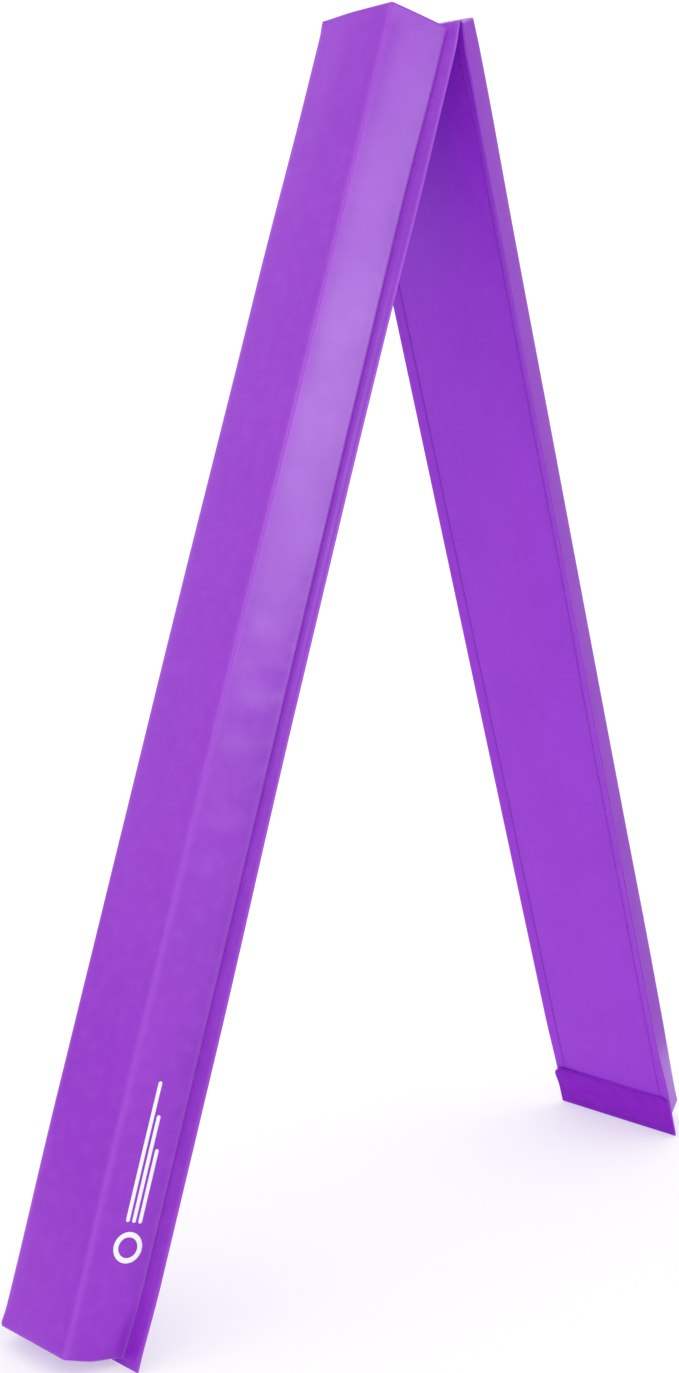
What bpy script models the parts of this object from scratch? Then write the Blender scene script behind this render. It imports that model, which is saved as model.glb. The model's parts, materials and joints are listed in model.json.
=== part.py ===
"""Folding foam balance beam, standing on its two feet like a tent.

Two equal halves are joined by one web of the cover's base sheet. Each half is a trapezoid foam
block in a sewn vinyl cover: a top cover with a flange along each side, a base sheet stitched to
the flanges, and a panel at each end. Half A lies towards -X and half B towards +X. Half B has a
short connector flap at its foot, folded back under its base, and half A has the strip that the
flap of another beam grips.

Each half is drawn as it lies open on the floor, with the fold at x = 0, y across the beam and z
up from the outer face of the base sheet. An empty on the fold axis then stands it up. The axis
is a little outside the base sheets, at the middle of the bend that the fold web makes. Half A
runs along -x and half B along +x.
"""

import math

import bpy

# Driving dimensions, in metres
HALF_LENGTH = 1.3716        # fold line to foot
OVERALL_WIDTH = 0.1778      # base sheet, flange edge to flange edge
TOP_WIDTH = 0.1016          # walking surface between its creases
BEAM_HEIGHT = 0.0635        # base sheet to walking surface
FLANGE_WIDTH = 0.0165       # sewn border outside the foam
CREASE_RADIUS = 0.008       # long edges of the walking surface
HALF_ANGLE = math.radians(18.6)  # each half from the vertical, as the beam stands
SHEET = 0.001               # cover vinyl
TAPE = 0.0015               # hook or loop tape
GAP = 0.0003                # between touching pieces
FOLD_SETBACK = 0.003        # fold line to the end panel of each half
FOLD_RADIUS = 0.0013        # fold axis to the outer face of each base sheet
WEB_REACH = 0.004           # straight length of the fold web on each side of its bend
STITCH_INSET = 0.014        # long seams, from the flange edge
THREAD_RADIUS = 0.0004
SEAM_END = 0.006            # a seam stops this far from each end of its half
FLAP_LENGTH = 0.054
FLAP_WIDTH = 0.180
FLAP_CORNER = 0.013         # radius of the flap's free corners
FLAP_INSET = 0.0015         # folded edge of the flap, from the foot
FLAP_AXIS_INSET = 0.0005    # axis of the flap's fold, from the foot
TAPE_MARGIN = 0.0012        # hook tape inside the edge of the flap
LOOP_LENGTH = 0.050
LOOP_WIDTH = 0.170
LOOP_INSET = 0.004          # loop tape, from the foot
TAPE_SEAM_INSET = 0.0035    # border stitching, from the edge of each tape
ARC_STEPS = 6               # faces around each rounded edge

AXIS_HEIGHT = HALF_LENGTH * math.cos(HALF_ANGLE) - FOLD_RADIUS * math.sin(HALF_ANGLE)
FLANGE_TOP = 2 * SHEET + GAP  # two sheets, sewn together
CORE_INSET = SHEET + GAP    # outer face of the cover to the foam inside it
SIDE = {"a": -1, "b": 1}
ROW = {"front": -1, "back": 1}


def clear_scene():
    for obj in list(bpy.data.objects):
        bpy.data.objects.remove(obj, do_unlink=True)


def make_collection(name):
    collection = bpy.data.collections.new(name)
    bpy.context.scene.collection.children.link(collection)
    return collection


def make_material(name, color, roughness):
    material = bpy.data.materials.new(name)
    material.use_nodes = True
    shader = material.node_tree.nodes["Principled BSDF"]
    shader.inputs["Base Color"].default_value = (*color, 1.0)
    shader.inputs["Roughness"].default_value = roughness
    shader.inputs["Metallic"].default_value = 0.0
    material.diffuse_color = (*color, 1.0)
    return material


# ---- outlines ----

def arc(center, radius, start, end, steps=ARC_STEPS):
    """Points round an arc, from one angle to another."""
    angles = [start + (end - start) * i / steps for i in range(steps + 1)]
    return [(center[0] + radius * math.cos(a), center[1] + radius * math.sin(a)) for a in angles]


FOAM_HALF_WIDTH = OVERALL_WIDTH / 2 - FLANGE_WIDTH
SLOPE = math.atan2(FOAM_HALF_WIDTH - TOP_WIDTH / 2, BEAM_HEIGHT - FLANGE_TOP)
# distance of the sloped side's outer face from the origin, along its normal
SLOPE_REACH = FOAM_HALF_WIDTH * math.cos(SLOPE) + FLANGE_TOP * math.sin(SLOPE)


def slope_y(z, inset):
    """Where the sloped side is at a height, at an inset inside its outer face."""
    return (SLOPE_REACH - inset - z * math.sin(SLOPE)) / math.cos(SLOPE)


def crease(inset):
    """The rounded long edge, from the sloped side up to the walking surface."""
    center_z = BEAM_HEIGHT - CREASE_RADIUS
    center = (slope_y(center_z, CREASE_RADIUS), center_z)
    return arc(center, CREASE_RADIUS - inset, SLOPE, math.pi / 2)


def mirrored(half_outline):
    """A section from -y to +y, out of its +y half listed from the outside inwards."""
    return [(-y, z) for y, z in half_outline] + half_outline[::-1]


def block_outline(inset, bottom):
    """The section of the padded body, without its flanges."""
    return mirrored([(slope_y(bottom, inset), bottom)] + crease(inset))


def cover_path(inset):
    """The top cover's section as one line, from flange edge to flange edge."""
    z = FLANGE_TOP - inset
    return mirrored([(OVERALL_WIDTH / 2, z), (slope_y(z, inset), z)] + crease(inset))


def tab_outline(root, tip, half_width, radius):
    """A tape or flap seen flat: square at its root, with rounded corners at its tip."""
    way = math.copysign(1, tip - root)
    turn = arc((0, 0), radius, math.pi / 2, 0)
    corner = [(tip - way * radius + way * x, half_width - radius + y) for x, y in turn]
    half = [(root, half_width)] + corner
    return half + [(x, -y) for x, y in half[::-1]]


def web_face(radius):
    """One face of the fold web in the XZ plane, about the fold axis: a thin tent with a round top."""
    ends = {}
    for side in SIDE.values():
        x = side * (WEB_REACH * math.sin(HALF_ANGLE) + radius * math.cos(HALF_ANGLE))
        z = radius * math.sin(HALF_ANGLE) - WEB_REACH * math.cos(HALF_ANGLE)
        ends[side] = (x, z)
    bend = arc((0, 0), radius, math.pi - HALF_ANGLE, HALF_ANGLE, 2 * ARC_STEPS)
    return [ends[SIDE["a"]]] + bend + [ends[SIDE["b"]]]


# ---- solids ----

def finish(obj, material, parent, collection):
    obj.data.materials.append(material)
    obj.parent = parent
    collection.objects.link(obj)
    return obj


def prism(name, outline, depth):
    """A flat outline drawn in the curve's own XY plane, with a depth centred on it."""
    curve = bpy.data.curves.new(name, "CURVE")
    curve.dimensions = "2D"
    curve.fill_mode = "BOTH"
    curve.extrude = depth / 2
    spline = curve.splines.new("POLY")
    spline.points.add(len(outline) - 1)
    for point, (x, y) in zip(spline.points, outline):
        point.co = (x, y, 0, 1)
    spline.use_cyclic_u = True
    return bpy.data.objects.new(name, curve)


def section(name, outline, start, end):
    """A y-z section that runs along x from start to end."""
    obj = prism(name, outline, abs(end - start))
    obj.rotation_euler = (math.pi / 2, 0, math.pi / 2)
    obj.location.x = (start + end) / 2
    return obj


def plate(name, outline, low, high):
    """An x-y outline that fills z from low to high."""
    obj = prism(name, outline, high - low)
    obj.location.z = (low + high) / 2
    return obj


def thread(name, points, closed=False):
    """A sewing thread that follows a few points."""
    curve = bpy.data.curves.new(name, "CURVE")
    curve.dimensions = "3D"
    curve.bevel_depth = THREAD_RADIUS
    curve.bevel_resolution = 2
    curve.use_fill_caps = True
    spline = curve.splines.new("POLY")
    spline.points.add(len(points) - 1)
    for point, place in zip(spline.points, points):
        point.co = (*place, 1)
    spline.use_cyclic_u = closed
    return bpy.data.objects.new(name, curve)


def rectangle(start, end, width):
    return [(start, -width / 2), (end, -width / 2), (end, width / 2), (start, width / 2)]


# ---- pieces ----

def make_empty(name, parent, location, collection):
    empty = bpy.data.objects.new(name, None)
    empty.parent = parent
    empty.location = location
    collection.objects.link(empty)
    return empty


def make_stance(half, collection):
    """The empty on the fold axis that stands one half up, and on it the half's own frame."""
    axis = make_empty(f"fold_axis_{half}", None, (0, 0, AXIS_HEIGHT), collection)
    axis.rotation_euler = (0, SIDE[half] * (math.pi / 2 - HALF_ANGLE), 0)
    return make_empty(f"frame_{half}", axis, (0, 0, FOLD_RADIUS), collection)


def make_half(half, frame, materials, collection):
    """Foam, covers and long seams of one half."""
    side = SIDE[half]
    near = side * FOLD_SETBACK
    far = side * HALF_LENGTH
    panel = side * SHEET
    skin = side * CORE_INSET

    core = section(f"foam_core_{half}", block_outline(CORE_INSET, CORE_INSET), near + skin, far - skin)
    finish(core, materials["foam"], frame, collection)

    outline = cover_path(0) + cover_path(SHEET)[::-1]
    cover = section(f"top_cover_{half}", outline, near + skin, far - skin)
    finish(cover, materials["vinyl"], frame, collection)

    base = plate(f"base_sheet_{half}", rectangle(side * (WEB_REACH + GAP), far, OVERALL_WIDTH), 0, SHEET)
    finish(base, materials["base"], frame, collection)

    end_outline = block_outline(0, CORE_INSET)
    for name, outer in (("fold_end_panel", near), ("foot_end_panel", far - panel)):
        end = section(f"{name}_{half}", end_outline, outer, outer + panel)
        finish(end, materials["vinyl"], frame, collection)

    start = side * (WEB_REACH + SEAM_END)
    stop = far - side * SEAM_END
    above = FLANGE_TOP + GAP + THREAD_RADIUS
    below = -GAP - THREAD_RADIUS
    # on half B the under threads stop short of the folded flap
    flap_edge = side * (HALF_LENGTH - FLAP_INSET - FLAP_LENGTH - SEAM_END)
    under_stop = flap_edge if half == "b" else side * (HALF_LENGTH - LOOP_INSET - LOOP_LENGTH - SEAM_END)
    for row, sign in ROW.items():
        y = sign * (OVERALL_WIDTH / 2 - STITCH_INSET)
        for name, z, end in (("needle_thread", above, stop), ("bobbin_thread", below, under_stop)):
            seam = thread(f"{name}_{row}_{half}", [(start, y, z), (end, y, z)])
            finish(seam, materials["thread"], frame, collection)


def border_seam(name, root, tip, half_width, z):
    """Border stitching of a tape, as one closed run of thread."""
    way = math.copysign(1, tip - root)
    root_x = root + way * TAPE_SEAM_INSET
    tip_x = tip - way * TAPE_SEAM_INSET
    radius = FLAP_CORNER - TAPE_SEAM_INSET
    outline = tab_outline(root_x, tip_x, half_width - TAPE_SEAM_INSET, radius)
    return thread(name, [(x, y, z) for x, y in outline], closed=True)


def make_loop_tape(frame, materials, collection):
    """The strip under the foot of half A that takes another beam's flap."""
    root = SIDE["a"] * (HALF_LENGTH - LOOP_INSET)
    tip = root - SIDE["a"] * LOOP_LENGTH
    outline = tab_outline(root, tip, LOOP_WIDTH / 2, FLAP_CORNER)
    face = -GAP - TAPE
    tape = plate("loop_tape_a", outline, face, -GAP)
    finish(tape, materials["loop"], frame, collection)
    seam = border_seam("loop_tape_thread_a", root, tip, LOOP_WIDTH / 2, face - GAP - THREAD_RADIUS)
    finish(seam, materials["thread"], frame, collection)


def make_flap(frame, materials, collection):
    """The connector flap of half B, folded back against the base sheet."""
    place = (HALF_LENGTH - FLAP_AXIS_INSET, 0, -GAP / 2)
    axis = make_empty("flap_axis", frame, place, collection)

    root = FLAP_AXIS_INSET - FLAP_INSET
    tip = root - FLAP_LENGTH
    back_top = -GAP / 2
    back_face = back_top - SHEET
    outline = tab_outline(root, tip, FLAP_WIDTH / 2, FLAP_CORNER)
    backing = plate("flap_backing_b", outline, back_face, back_top)
    finish(backing, materials["vinyl"], axis, collection)

    tape_top = back_face - GAP
    tape_face = tape_top - TAPE
    tape_root = root - TAPE_MARGIN
    tape_tip = tip + TAPE_MARGIN
    half_width = FLAP_WIDTH / 2 - TAPE_MARGIN
    tape_outline = tab_outline(tape_root, tape_tip, half_width, FLAP_CORNER - TAPE_MARGIN)
    tape = plate("hook_tape_b", tape_outline, tape_face, tape_top)
    finish(tape, materials["hook"], axis, collection)

    z = tape_face - GAP - THREAD_RADIUS
    seam = border_seam("hook_tape_thread_b", tape_root, tape_tip, half_width, z)
    finish(seam, materials["thread"], axis, collection)


def make_fold_web(materials, collection):
    """The stretch of base sheet that bends where the beam folds."""
    outline = web_face(FOLD_RADIUS) + web_face(FOLD_RADIUS + SHEET)[::-1]
    web = prism("fold_web", outline, OVERALL_WIDTH)
    web.rotation_euler = (math.pi / 2, 0, 0)
    web.location.z = AXIS_HEIGHT
    finish(web, materials["base"], None, collection)


def build():
    clear_scene()
    collection = make_collection("folding_balance_beam")
    materials = {
        "vinyl": make_material("cover_vinyl", (0.33, 0.09, 0.62), 0.42),
        "base": make_material("base_vinyl", (0.28, 0.06, 0.56), 0.48),
        "foam": make_material("foam", (0.85, 0.85, 0.82), 0.90),
        "thread": make_material("thread", (0.22, 0.04, 0.44), 0.70),
        "hook": make_material("hook_tape", (0.18, 0.02, 0.42), 0.85),
        "loop": make_material("loop_tape", (0.20, 0.03, 0.44), 0.90),
    }
    frames = {half: make_stance(half, collection) for half in SIDE}
    for half, frame in frames.items():
        make_half(half, frame, materials, collection)
    make_fold_web(materials, collection)
    make_loop_tape(frames["a"], materials, collection)
    make_flap(frames["b"], materials, collection)


build()
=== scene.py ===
"""Folding foam balance beam, stood up like a tent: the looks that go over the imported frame.

Every soft piece is drawn in the frame of the half that it belongs to: u runs from the fold axis
down to the foot, v across the beam and w up from the outer face of the base sheet. stand()
turns that into the row frame.
"""

import json
import math

import bpy
import numpy as np
from mathutils import Matrix, Vector, noise


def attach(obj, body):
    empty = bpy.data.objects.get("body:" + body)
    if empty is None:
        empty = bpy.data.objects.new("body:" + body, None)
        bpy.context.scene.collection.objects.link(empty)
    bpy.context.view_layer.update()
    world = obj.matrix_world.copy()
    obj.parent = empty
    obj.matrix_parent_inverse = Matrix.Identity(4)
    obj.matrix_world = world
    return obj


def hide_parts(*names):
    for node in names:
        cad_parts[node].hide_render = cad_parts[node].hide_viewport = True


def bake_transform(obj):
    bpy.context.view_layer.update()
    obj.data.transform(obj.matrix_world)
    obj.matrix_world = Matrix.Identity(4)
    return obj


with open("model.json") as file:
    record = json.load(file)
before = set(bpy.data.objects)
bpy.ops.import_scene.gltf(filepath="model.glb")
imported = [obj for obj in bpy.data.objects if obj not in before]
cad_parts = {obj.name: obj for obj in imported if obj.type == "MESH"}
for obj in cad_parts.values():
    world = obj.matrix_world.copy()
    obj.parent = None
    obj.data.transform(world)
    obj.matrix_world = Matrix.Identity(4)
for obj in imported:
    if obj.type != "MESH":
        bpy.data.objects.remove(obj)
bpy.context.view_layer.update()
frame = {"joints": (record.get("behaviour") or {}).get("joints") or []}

# ---- driving dimensions, in metres, the same as the frame's ----
HALF_LENGTH = 1.3716
OVERALL_WIDTH = 0.1778
TOP_WIDTH = 0.1016
BEAM_HEIGHT = 0.0635
FLANGE_WIDTH = 0.0165
HALF_ANGLE = math.radians(18.6)
SHEET = 0.001
TAPE = 0.0015
GAP = 0.0003
FOLD_SETBACK = 0.003
FOLD_RADIUS = 0.0013
STITCH_INSET = 0.014
FLAP_LENGTH = 0.054
FLAP_WIDTH = 0.180
FLAP_CORNER = 0.013
FLAP_INSET = 0.0015
TAPE_MARGIN = 0.0012
LOOP_LENGTH = 0.050
LOOP_WIDTH = 0.170
LOOP_INSET = 0.004
TAPE_SEAM_INSET = 0.0035

AXIS_HEIGHT = next(j for j in frame["joints"] if j["name"] == "fold")["pos_m"][2]
FLANGE_TOP = 2 * SHEET + GAP
SKIN = SHEET + GAP
EDGE = OVERALL_WIDTH / 2
STITCH_ROW = EDGE - STITCH_INSET
FOAM_HALF_WIDTH = EDGE - FLANGE_WIDTH
SLOPE = math.atan2(FOAM_HALF_WIDTH - TOP_WIDTH / 2, BEAM_HEIGHT - FLANGE_TOP)
SLOPE_REACH = FOAM_HALF_WIDTH * math.cos(SLOPE) + FLANGE_TOP * math.sin(SLOPE)
SIN, COS = math.sin(HALF_ANGLE), math.cos(HALF_ANGLE)
SIDE = {"a": -1, "b": 1}
ROW = {"front": -1, "back": 1}

# ---- how the cover sits on its foam, in metres ----
CREASE = 0.0038         # rounding of the long edges of the walking surface
END_CREASE = 0.0040     # the same at the fold
CREASE_SAG = {"a": 0.0011, "b": 0.0004}   # how far the foam gives under those edges, away from the ends
SAG_REACH = (0.005, 0.010)   # how far that shows on the walking surface and on the slope
FILLET = 0.0016         # hollow at the bottom of each sloped side
FOLD_ROUND = 0.0012     # rounding of the cover into its end seam at the fold
FOOT_ROUND = 0.0025     # the same at the foot
CROWN = 0.0006          # how far the middle of the walking surface stands up
BULGE = 0.0004          # how far the middle of each sloped side stands out
FLANGE_REACH = 0.0030   # how much closer to the fold the flanges come than the rest of the cover
FOOT_TUCK = 0.0045      # how far the foot's end seam pulls the bottom of each slope up
CURL_FROM = FOAM_HALF_WIDTH + 0.0008   # where the flanges begin to bend
CURL_START = 0.0025     # width over which a flange bends before it runs straight
CURL = {"a": (16, 4), "b": (3, 8)}     # degrees that each half's front and back flanges curl back
FLAT_FOOT = {"a": (0.085, 0.012), "b": (0.135, 0.056)}   # how far from the foot they come back to flat
SEAM_DIP, SEAM_DIP_REACH = 0.00030, 0.0011   # depth and half width of the groove that the stitches pull
PITCH = 0.005           # stitch length
TAPE_PITCH = 0.0042     # the same on the tapes
THREAD = 0.0004         # radius of a stitch
BASE_EDGE = 0.0882      # half width of the base sheet, less its rounded rim
BEND_SETBACK = 0.0011   # how far short of the foot the base sheet turns into the flap
PILE = 0.0006           # height of the hooks or loops above their woven tape
FOAM_GAP = 0.0002       # between the foam and its cover, on top of the frame's own gap
INK, INK_FACE = 0.00018, 0.00022   # thickness of the print, and how far its face stands out

TOP_STEPS, CREASE_STEPS, SLOPE_STEPS, FILLET_STEPS, FLANGE_STEPS = 9, 9, 16, 6, 13
SEAM_POINT = TOP_STEPS + CREASE_STEPS + SLOPE_STEPS + FILLET_STEPS
ALL = slice(None)
GRID_EDGES = {          # each edge of a grid of points, and the line of points next to it
    "u0": ((0, ALL), (1, ALL)), "u1": ((-1, ALL), (-2, ALL)),
    "v0": ((ALL, 0), (ALL, 1)), "v1": ((ALL, -1), (ALL, -2)),
}


# ---- numbers and meshes ----

def stand(side, p):
    """Points (u, v, w) of one half, in the row frame."""
    u, v, w = p[..., 0], p[..., 1], p[..., 2] + FOLD_RADIUS
    return np.stack([side * (u * SIN + w * COS), v, AXIS_HEIGHT - u * COS + w * SIN], -1)


def smooth(x, low, high):
    t = np.clip((x - low) / (high - low), 0, 1)
    return t * t * (3 - 2 * t)


def hump(x, middle, width):
    return np.exp(-(((x - middle) / width) ** 2))


def ripple(x, y, size_x, size_y, seed):
    """Smooth noise from -1 to 1 whose swells are about size_x by size_y."""
    flat = [noise.noise(Vector((a / size_x, b / size_y, seed))) for a, b in zip(x.ravel(), y.ravel())]
    return np.array(flat).reshape(x.shape)


def unit(a):
    return a / np.maximum(np.linalg.norm(a, axis=-1, keepdims=True), 1e-12)


def quads(rows, columns, loop=False):
    """Faces of a grid of points, row by row. A loop joins each row's last point to its first."""
    i, j = np.meshgrid(np.arange(rows - 1), np.arange(columns if loop else columns - 1), indexing="ij")
    k = (j + 1) % columns
    corners = [i * columns + j, (i + 1) * columns + j, (i + 1) * columns + k, i * columns + k]
    return np.stack(corners, -1).reshape(-1, 4)


def mirrored(half_row, sign=1):
    """A row from the middle outwards, with its other side, times sign, put before it."""
    return np.concatenate([sign * half_row[:0:-1], half_row])


def make_mesh(name, points, faces, uv, tone_mask=None):
    mesh = bpy.data.meshes.new(name)
    mesh.from_pydata([tuple(p) for p in points], [], [tuple(int(i) for i in f) for f in faces])
    layer = mesh.uv_layers.new(name="metres")
    corners = np.zeros(len(mesh.loops), np.int32)
    mesh.loops.foreach_get("vertex_index", corners)
    layer.data.foreach_set("uv", np.asarray(uv, np.float32)[corners].ravel())
    if tone_mask is not None:
        masked = mesh.attributes.new("tone_mask", "FLOAT", "POINT")
        masked.data.foreach_set("value", np.asarray(tone_mask, np.float32))
    mesh.polygons.foreach_set("use_smooth", [True] * len(mesh.polygons))
    mesh.update()
    piece = bpy.data.objects.new(name, mesh)
    bpy.context.scene.collection.objects.link(piece)
    return piece


def vertex_normals(points, faces):
    normal = np.zeros_like(points)
    a, b, c, d = (points[faces[:, k]] for k in range(4))
    face = np.cross(c - a, d - b)
    for k in range(4):
        np.add.at(normal, faces[:, k], face)
    return unit(normal)


def shell(name, grid, uv, thickness, flip=False, square=(), tone_mask=None, steps=3):
    """A sheet of real thickness under a grid of outer points, with its edge rounded in steps.

    square names the grid edges that stay flat because another piece carries on from there.
    """
    rows, columns = grid.shape[:2]
    points, flat = grid.reshape(-1, 3), uv.reshape(-1, 2)
    faces = quads(rows, columns)
    if flip:
        faces = faces[:, ::-1]
    normal = vertex_normals(points, faces)
    index = np.arange(rows * columns).reshape(rows, columns)
    out = np.zeros_like(grid)
    for edge, (at, inner) in GRID_EDGES.items():
        if edge not in square:
            out[at] += unit(grid[at] - grid[inner])
    rim = np.concatenate([index[0, :-1], index[:-1, -1], index[-1, :0:-1], index[:0:-1, 0]])
    n = normal[rim]
    away = out.reshape(-1, 3)[rim]
    away = away - n * (away * n).sum(-1, keepdims=True)
    size = np.minimum(np.linalg.norm(away, axis=-1, keepdims=True), 1)
    away = unit(away) * size
    layers, texture, masked = [points, points - normal * thickness], [flat, flat], None
    rings = [rim]
    for k in range(1, steps + 1):
        angle = math.pi * k / (steps + 1)
        turned = math.cos(angle) * n + math.sin(angle) * away
        ring = points[rim] - n * thickness / 2 + turned * thickness / 2
        rings.append(np.arange(len(rim)) + sum(len(x) for x in layers))
        layers.append(ring)
        texture.append(flat[rim])
    rings.append(rim + len(points))
    if tone_mask is not None:
        w = tone_mask.reshape(-1)
        masked = np.concatenate([w, w] + [w[rim]] * steps)
    rim_faces = []
    for near, far in zip(rings[:-1], rings[1:]):
        strip = np.stack([near, np.roll(near, -1), np.roll(far, -1), far], -1)
        rim_faces.append(strip[:, ::-1] if flip else strip)
    every = np.concatenate([faces, faces[:, ::-1] + len(points)] + rim_faces)
    return make_mesh(name, np.concatenate(layers), every, np.concatenate(texture), masked)


def spread(start, stop, step, ends):
    """Evenly spaced stations, with closer ones at the given distances from both ends."""
    count = round((stop - start - 2 * ends[-1]) / step) + 1
    inner = np.linspace(start + ends[-1], stop - ends[-1], count)
    near = [start + e for e in ends[:-1]]
    far = [stop - e for e in ends[:-1]]
    return np.array(sorted([*near, *inner, *far]))


# ---- materials ----

PLY_PITCH = 0.0009               # the sewing thread's plies
HOOK_PITCH = (0.0016, 0.0013)    # the hook tape's rows, and the hooks in a row
WEAVE_PITCH = (0.0006, 0.0008)   # the weave under them


class Graph:
    """A material's nodes, written as short calls."""

    def __init__(self, name):
        self.material = bpy.data.materials.new(name)
        self.material.use_nodes = True
        self.tree = self.material.node_tree
        self.shader = self.tree.nodes["Principled BSDF"]

    def node(self, kind, **settings):
        made = self.tree.nodes.new("ShaderNode" + kind)
        for key, value in settings.items():
            setattr(made, key, value)
        return made

    def feed(self, socket, value):
        if isinstance(value, bpy.types.NodeSocket):
            self.tree.links.new(value, socket)
        else:
            socket.default_value = value

    def math(self, operation, a, b=0.0):
        made = self.node("Math", operation=operation)
        self.feed(made.inputs[0], a)
        self.feed(made.inputs[1], b)
        return made.outputs[0]

    def times(self, a, b):
        return self.math("MULTIPLY", a, b)

    def wave(self, value, pitch):
        return self.math("SINE", self.times(value, math.tau / pitch))

    def metres(self):
        """The sheet's own flat coordinates in metres, then their parts along and across it."""
        uv = self.node("UVMap", uv_map="metres").outputs[0]
        parts = self.node("SeparateXYZ")
        self.feed(parts.inputs[0], uv)
        return uv, parts.outputs[0], parts.outputs[1]

    def noise(self, where, scale, detail=2.0, rough=0.5, offset=0.0):
        place = self.node("Mapping")
        self.feed(place.inputs["Vector"], where)
        place.inputs["Location"].default_value = (offset, offset * 1.7, offset * 0.6)
        made = self.node("TexNoise")
        self.feed(made.inputs["Vector"], place.outputs[0])
        made.inputs["Scale"].default_value = scale
        made.inputs["Detail"].default_value = detail
        made.inputs["Roughness"].default_value = rough
        return made.outputs["Fac"]

    def cells(self, where, scale, feature="F1"):
        made = self.node("TexVoronoi", feature=feature)
        self.feed(made.inputs["Vector"], where)
        made.inputs["Scale"].default_value = scale
        return made.outputs["Distance"]

    def span(self, value, low, high, to_low=0.0, to_high=1.0):
        made = self.node("MapRange")
        for socket, v in zip(made.inputs[:5], (value, low, high, to_low, to_high)):
            self.feed(socket, v)
        return made.outputs[0]

    def mix(self, share, a, b):
        made = self.node("Mix", data_type="RGBA")
        self.feed(made.inputs["Factor"], share)
        for socket, value in zip([s for s in made.inputs if s.type == "RGBA"], (a, b)):
            self.feed(socket, value if isinstance(value, bpy.types.NodeSocket) else (*value, 1.0))
        return next(s for s in made.outputs if s.type == "RGBA")

    def bump(self, height, distance, strength, under=None):
        made = self.node("Bump")
        self.feed(made.inputs["Height"], height)
        made.inputs["Distance"].default_value = distance
        made.inputs["Strength"].default_value = strength
        if under is not None:
            self.feed(made.inputs["Normal"], under)
        return made.outputs[0]

    def bell(self, value, middle, width):
        off = self.math("DIVIDE", self.math("SUBTRACT", value, middle), width)
        return self.math("EXPONENT", self.times(self.times(off, off), -1.0))

    def finish(self, **sockets):
        for name, value in sockets.items():
            socket = self.shader.inputs[name.replace("_", " ")]
            self.feed(socket, (*value, 1.0) if isinstance(value, tuple) and len(value) == 3 else value)
        return self.material


def vinyl(name, colour, dark, light, roughness, seam=None, offset=0.0):
    """Smooth coated cloth: very fine grain, slow mottling, a lighter tone where the mesh's tone mask is set
    (painted highlight on the cover), puckers along a seam, with painted shade in its groove and needle
    holes.
    """
    g = Graph(name)
    uv, along, across = g.metres()
    slow = g.noise(uv, 11.0, 3.0, 0.55, offset=offset)
    cloudy = g.noise(uv, 70.0, 2.0, 0.6, offset=offset + 3.1)
    tone = g.mix(g.span(slow, 0.35, 0.65), colour, dark)
    tone = g.mix(g.times(g.span(cloudy, 0.45, 0.75), 0.25), tone, light)
    # The tone mask lightens the colour and roughens it a little. On the cover this is painted highlight
    # along the flange edges and creases, and painted light in the hollow at the foot of each slope. On the
    # other vinyl pieces it lightens their edges and the flap's bend.
    masked = g.node("Attribute", attribute_name="tone_mask").outputs["Fac"]
    lighter_share = g.times(masked, g.span(g.noise(uv, 260.0, 2.0, 0.6), 0.3, 0.7, 0.6, 1.0))
    tone = g.mix(g.times(lighter_share, 0.9), tone, light)
    rough = g.span(g.math("ADD", g.times(slow, 0.6), g.times(cloudy, 0.4)),
                   0.35, 0.65, roughness - 0.035, roughness + 0.035)
    rough = g.math("ADD", rough, g.times(lighter_share, 0.06))
    grain = g.cells(uv, 1150.0, "SMOOTH_F1")
    pores = g.noise(uv, 2600.0, 1.0, 0.5)
    normal = g.bump(g.math("ADD", grain, g.times(pores, 0.35)), 0.00005, 0.35)
    normal = g.bump(cloudy, 0.00025, 0.30, normal)
    if seam is not None:
        off = g.math("ABSOLUTE", across)
        phase = g.math("COSINE", g.times(along, math.tau / PITCH))
        near = g.bell(off, seam, 0.0010)
        hole = g.times(g.bell(off, seam, 0.00055), g.span(phase, 0.80, 0.98))
        pulled = g.times(near, g.math("ADD", g.times(phase, -0.5), -0.6))
        normal = g.bump(g.math("SUBTRACT", pulled, g.times(hole, 1.5)), 0.00030, 0.6, normal)
        # Painted shade: the colour darkens in a band along the stitched groove, and much more in each needle
        # hole, where shade falls.
        deep = tuple(0.45 * c for c in dark)
        tone = g.mix(g.times(near, 0.12), tone, deep)
        tone = g.mix(g.times(hole, 0.75), tone, deep)
    return g.finish(Base_Color=tone, Roughness=rough, IOR=1.46, Normal=normal)


def sewing_thread(name, colour, light):
    """Plied polyester: fine slanting plies and a dull sheen."""
    g = Graph(name)
    uv, along, across = g.metres()
    plies = g.times(along, math.tau / PLY_PITCH)
    ply = g.math("SINE", g.math("ADD", plies, g.times(across, math.tau * 2)))
    tone = g.mix(g.span(ply, -1, 1, 0.0, 0.5), colour, light)
    tone = g.mix(g.times(g.noise(uv, 90.0, 2.0), 0.35), tone, tuple(0.6 * c for c in colour))
    return g.finish(Base_Color=tone, Roughness=0.55, IOR=1.45, Sheen_Weight=0.15, Sheen_Roughness=0.4,
                    Normal=g.bump(ply, 0.00008, 0.6))


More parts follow.
